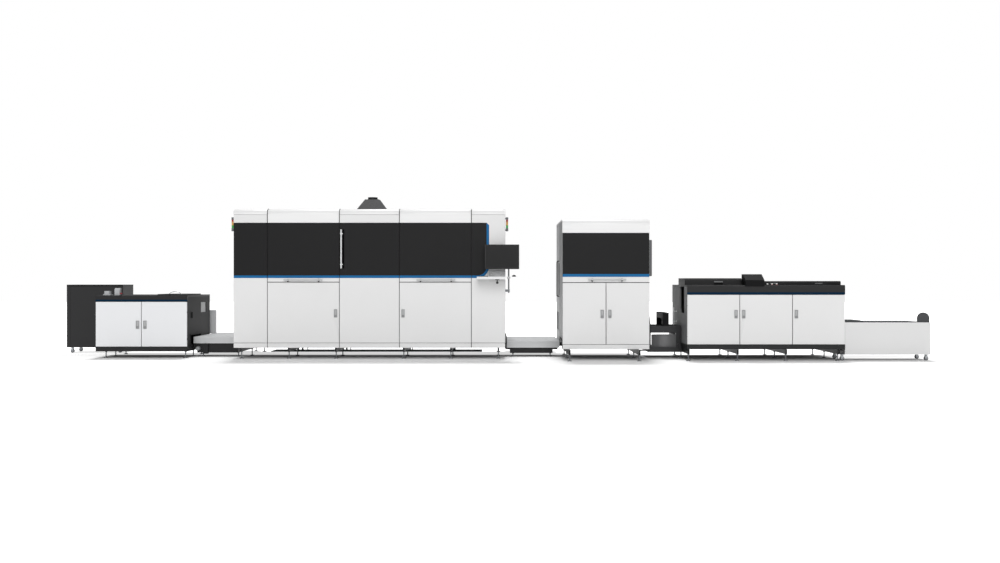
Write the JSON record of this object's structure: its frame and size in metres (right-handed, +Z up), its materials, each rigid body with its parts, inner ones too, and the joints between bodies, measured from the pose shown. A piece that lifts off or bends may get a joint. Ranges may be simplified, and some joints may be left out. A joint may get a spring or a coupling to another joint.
{
  "type": "web-fed production inkjet press line",
  "caption": "Continuous-feed inkjet press line: unwinder, long print unit, dryer tower, paper infeed, finishing unit and delivery belt, with hinged service doors.",
  "frame": {"origin": "on the floor under the middle of the whole line", "axes": "+X along the paper from the unwinder to the delivery belt, +Y from the operator side to the rear, +Z up"},
  "size_m": [13.3436, 2.51, 2.481],
  "materials": {
    "dark_frame": "semi-gloss powder coat",
    "inner_steel": "satin",
    "white_panel": "fine satin powder coat",
    "side_panel": "fine satin powder coat",
    "black_cover": "satin black",
    "blue_stripe": "gloss",
    "navy_trim": "gloss",
    "grey_wall": "satin",
    "mid_grey": "satin",
    "light_grey": "satin",
    "window": "smoked polycarbonate",
    "steel": "zinc plated",
    "rubber": "matt",
    "black_plastic": "moulded",
    "light_plastic": "moulded caps on dark red collars"
  },
  "bodies": {
    "root": {"base_frames": "dark_frame", "bulkheads": "inner_steel", "decks": "inner_steel", "skirts": "white_panel", "lower_panels": "white_panel", "blue_stripes": "blue_stripe", "upper_covers": "black_cover", "headers": "white_panel", "roofs": "side_panel", "rear_panels": "side_panel", "end_walls": "side_panel", "low_end_walls": "grey_wall", "low_rear_panels": "grey_wall", "navy_trims": "navy_trim", "dark_bands": "black_cover", "low_decks": "black_cover", "side_windows": "window", "finish_lids": "black_cover", "press_seam_fins": "dark_frame", "exhaust_hood": "mid_grey", "drip_tray": "dark_frame", "tower_left_wall": "mid_grey", "finish_control_box": "black_cover", "push_buttons": "light_plastic", "unwinder_base": "dark_frame", "unwinder_lid": "black_plastic", "unwinder_controls": "light_grey", "extraction_cabinet": "black_cover", "bridge_bases": "black_plastic", "bridge_covers": "light_grey", "bridge_fittings": "light_grey", "web_frames": "black_plastic", "infeed_frame": "dark_frame", "infeed_sheet": "mid_grey", "infeed_head": "black_cover", "infeed_side_plate": "black_plastic", "belt_housing": "white_panel", "belt_loop": "rubber", "belt_end_stop": "black_plastic", "levelling_feet": "steel", "caster_forks": "steel", "caster_wheels": "rubber", "hinge_arms": "steel", "pull_bars": "steel", "signal_lamps": "light_grey", "side_covers": "light_grey", "console_pole": "steel", "keyboard_shelf": "white_panel", "keyboard_and_mouse": "black_plastic"},
    "press_door_left": {"press_door_left": "white_panel"},
    "press_door_right": {"press_door_right": "white_panel"},
    "tower_door_left": {"tower_door_left": "white_panel"},
    "tower_door_right": {"tower_door_right": "white_panel"},
    "finish_door_1": {"finish_door_1": "white_panel"},
    "finish_door_2": {"finish_door_2": "white_panel"},
    "finish_door_3": {"finish_door_3": "white_panel"},
    "unwinder_door_left": {"unwinder_door_left": "white_panel"},
    "unwinder_door_right": {"unwinder_door_right": "white_panel"},
    "console_screen": {"console_screen": "black_plastic"}
  },
  "joints": [
    {"name": "press_door_left_hinge", "type": "hinge", "parent": "root", "child": "press_door_left", "pos_m": [-3.10925, -0.716, 0.241], "axis": [0, 0, -1], "range_deg": [0, 100]},
    {"name": "press_door_right_hinge", "type": "hinge", "parent": "root", "child": "press_door_right", "pos_m": [-0.07725, -0.716, 0.241], "axis": [0, 0, 1], "range_deg": [0, 100]},
    {"name": "tower_door_left_hinge", "type": "hinge", "parent": "root", "child": "tower_door_left", "pos_m": [1.29975, -1.016, 0.235], "axis": [0, 0, -1], "range_deg": [0, 100]},
    {"name": "tower_door_right_hinge", "type": "hinge", "parent": "root", "child": "tower_door_right", "pos_m": [2.55675, -1.016, 0.235], "axis": [0, 0, 1], "range_deg": [0, 100]},
    {"name": "finish_door_1_hinge", "type": "hinge", "parent": "root", "child": "finish_door_1", "pos_m": [3.11975, -1.116, 0.241], "axis": [0, 0, -1], "range_deg": [0, 100]},
    {"name": "finish_door_2_hinge", "type": "hinge", "parent": "root", "child": "finish_door_2", "pos_m": [4.63375, -1.116, 0.241], "axis": [0, 0, 1], "range_deg": [0, 95]},
    {"name": "finish_door_3_hinge", "type": "hinge", "parent": "root", "child": "finish_door_3", "pos_m": [5.40475, -1.116, 0.241], "axis": [0, 0, 1], "range_deg": [0, 95]},
    {"name": "unwinder_door_left_hinge", "type": "hinge", "parent": "root", "child": "unwinder_door_left", "pos_m": [-5.74225, -0.566, 0.176], "axis": [0, 0, -1], "range_deg": [0, 100]},
    {"name": "unwinder_door_right_hinge", "type": "hinge", "parent": "root", "child": "unwinder_door_right", "pos_m": [-4.38225, -0.566, 0.176], "axis": [0, 0, 1], "range_deg": [0, 100]},
    {"name": "screen_swivel", "type": "hinge", "parent": "root", "child": "console_screen", "pos_m": [0.49675, -0.745, 1.5], "axis": [0, 0, 1], "range_deg": [0, 60]}
  ]
}
